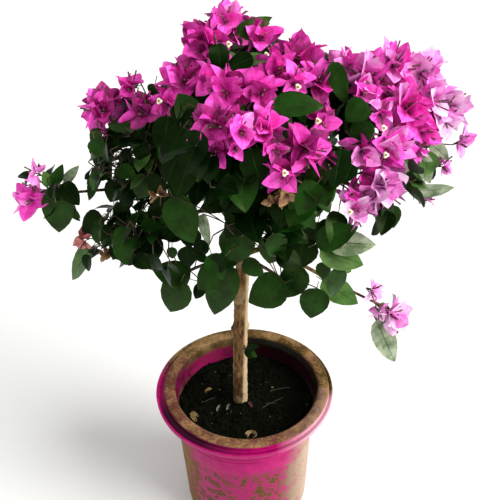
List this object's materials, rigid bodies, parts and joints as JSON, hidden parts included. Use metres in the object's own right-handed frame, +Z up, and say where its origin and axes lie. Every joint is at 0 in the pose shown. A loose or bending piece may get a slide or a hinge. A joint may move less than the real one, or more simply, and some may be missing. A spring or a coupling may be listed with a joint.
{
  "type": "potted bougainvillea",
  "caption": "Small bougainvillea trained as a standard: a bare trunk in a round pot under a rounded crown of dark leaves with magenta blossom on top.",
  "frame": {"origin": "middle of the pot's flat underside", "axes": "+Z up along the pot's axis, -Y towards the side seen in the picture, +X to that side's right"},
  "size_m": [0.5578, 0.3657, 0.7537],
  "materials": {
    "pot": "satin magenta plastic, browned and scuffed at the lip",
    "soil": "dark moist potting soil",
    "bark": "tan brown bark with a pale side",
    "leaf": "satin dark green leaf",
    "blossom": "papery magenta bract"
  },
  "bodies": {
    "root": {"pot": "pot", "soil": "soil", "trunk": "bark", "bough_top": "bark", "mass_top": "blossom", "bough_core": "bark", "mass_core": "leaf", "bough_top_right": "bark", "mass_top_right": "blossom", "bough_back": "bark", "mass_back": "blossom", "bough_left": "bark", "mass_left": "blossom", "bough_far_left": "bark", "mass_far_left": "leaf", "bough_left_low": "bark", "mass_left_low": "leaf", "bough_front": "bark", "mass_front": "blossom", "bough_front_right": "bark", "mass_front_right": "blossom", "bough_front_low": "bark", "mass_front_low": "leaf", "bough_right": "bark", "mass_right": "blossom", "bough_right_outer": "bark", "mass_right_outer": "blossom", "bough_right_front": "bark", "mass_right_front": "blossom", "bough_right_low": "bark", "mass_right_low": "leaf", "bough_low_right": "bark", "mass_low_right": "blossom", "bough_low_left": "bark", "mass_low_left": "leaf", "bough_low_middle": "bark", "mass_low_middle": "leaf", "bough_back_left": "bark", "mass_back_left": "blossom", "bough_back_right": "bark", "mass_back_right": "blossom", "bough_back_low": "bark", "mass_back_low": "leaf"}
  },
  "joints": []
}
